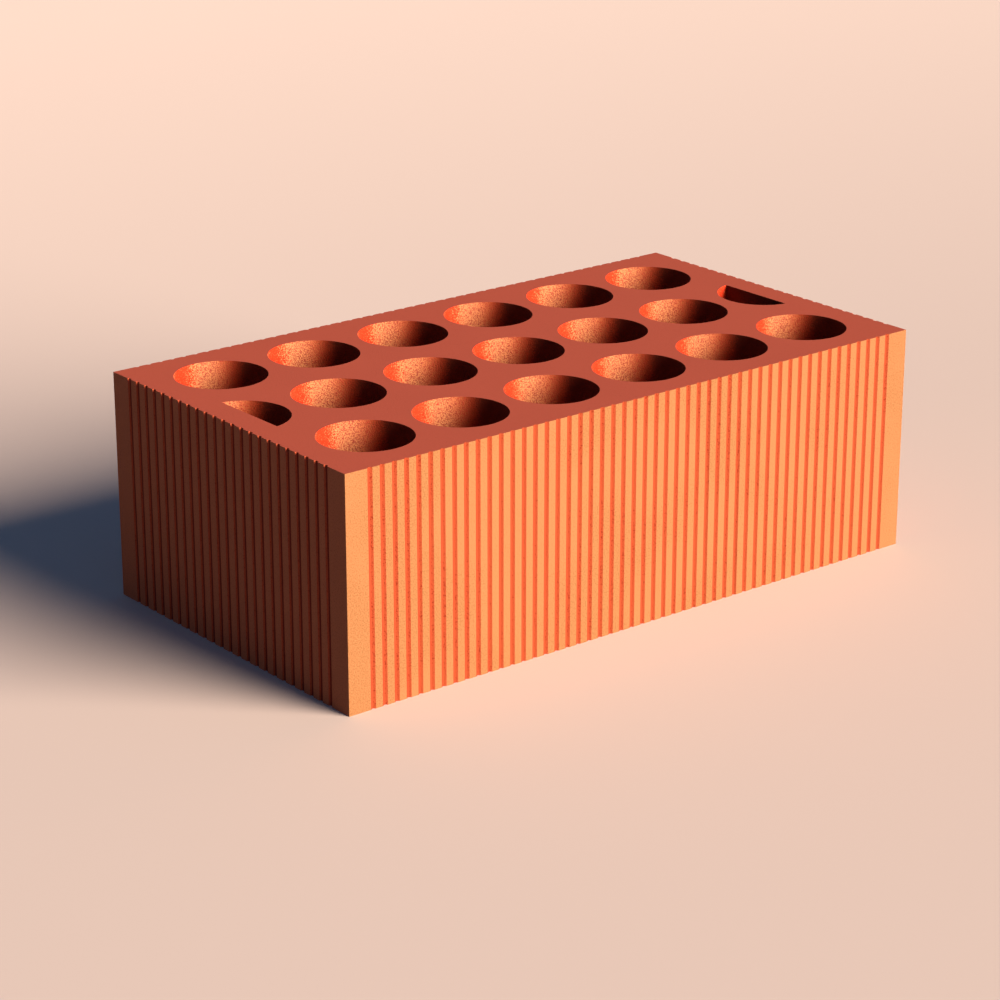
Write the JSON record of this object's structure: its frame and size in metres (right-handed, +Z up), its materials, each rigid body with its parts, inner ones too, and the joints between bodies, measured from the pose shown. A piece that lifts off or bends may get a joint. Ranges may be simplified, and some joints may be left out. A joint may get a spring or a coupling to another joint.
{
  "type": "clay brick",
  "caption": "Fired clay brick with combed sides, flat wire-cut beds and three staggered rows of round holes from bed to bed, for laying in mortar.",
  "frame": {"origin": "centre of the lower bed face, on the plane that the brick rests on", "axes": "+X along the brick's length, +Y across its width, +Z up from the lower bed to the upper bed, along the holes"},
  "size_m": [0.23, 0.125, 0.076],
  "materials": {
    "fired_clay": "fired red-orange clay, unglazed and matte: smooth wire-cut beds, finely sanded combed sides"
  },
  "bodies": {
    "root": {"brick": "fired_clay"}
  },
  "joints": []
}
